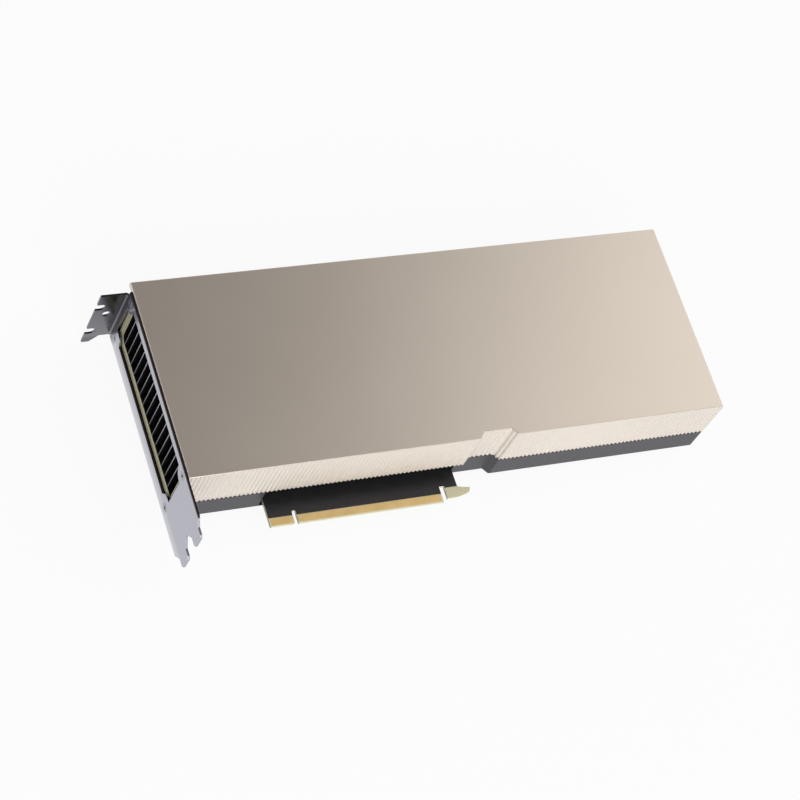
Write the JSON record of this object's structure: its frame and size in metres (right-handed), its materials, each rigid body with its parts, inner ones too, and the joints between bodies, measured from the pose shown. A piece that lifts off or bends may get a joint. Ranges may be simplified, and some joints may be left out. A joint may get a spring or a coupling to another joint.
{
  "type": "passive accelerator card",
  "caption": "Full-height dual-slot passively cooled accelerator card: ribbed aluminium shroud, dark back tray, vented bracket, slot contact tab and rear power connector",
  "frame": {"origin": "middle of the footprint, on the level of the lowest point, the tip of the bracket's flange", "axes": "+X from the bracket to the rear air intake, +Y from the contact tab to the card's top edge, +Z from the back tray to the shroud's flat face"},
  "size_m": [0.28, 0.124, 0.0432],
  "materials": {
    "shroud_metal": "satin champagne anodised aluminium",
    "tray_metal": "satin dark grey powder coat",
    "bracket_steel": "satin nickel-plated steel",
    "board_mask": "matt black solder mask",
    "contact_gold": "hard gold plate",
    "heatsink_plate": "bare machined alloy",
    "fin_sheet": "dark anodised fin sheet, bare cut edges",
    "foam": "black foam",
    "substrate": "green laminate",
    "silicon": "polished silicon",
    "ring_metal": "satin nickel",
    "thermal_pad": "soft grey thermal compound",
    "ferrite": "matt grey ferrite",
    "chip_black": "black epoxy",
    "film": "matt black film",
    "screw_steel": "zinc-plated steel",
    "connector_black": "black nylon",
    "screw_dark": "black oxide"
  },
  "bodies": {
    "root": {"top_shroud": "shroud_metal", "base_tray": "tray_metal", "mounting_bracket": "bracket_steel", "rear_frame": "tray_metal", "circuit_board": "board_mask", "edge_contacts_front": "contact_gold", "edge_contacts_back": "contact_gold", "heatsink_base": "heatsink_plate", "heatsink_fins": "fin_sheet", "foam_seal_strips": "foam", "processor_substrate": "substrate", "processor_die": "silicon", "memory_stacks": "silicon", "stiffener_ring": "ring_metal", "thermal_interface_pad": "thermal_pad", "power_inductors": "ferrite", "power_stages": "chip_black", "power_stage_pads": "thermal_pad", "chip_capacitors": "chip_black", "controller_chips": "chip_black", "back_thermal_pads": "thermal_pad", "insulating_sheet": "film", "board_standoffs": "screw_steel", "power_connector_housing": "connector_black", "power_connector_pins": "contact_gold", "bracket_screws": "screw_dark", "rear_frame_screws": "screw_dark", "tray_screws": "screw_dark", "board_screws": "screw_steel", "heatsink_screws": "screw_steel"}
  },
  "joints": []
}
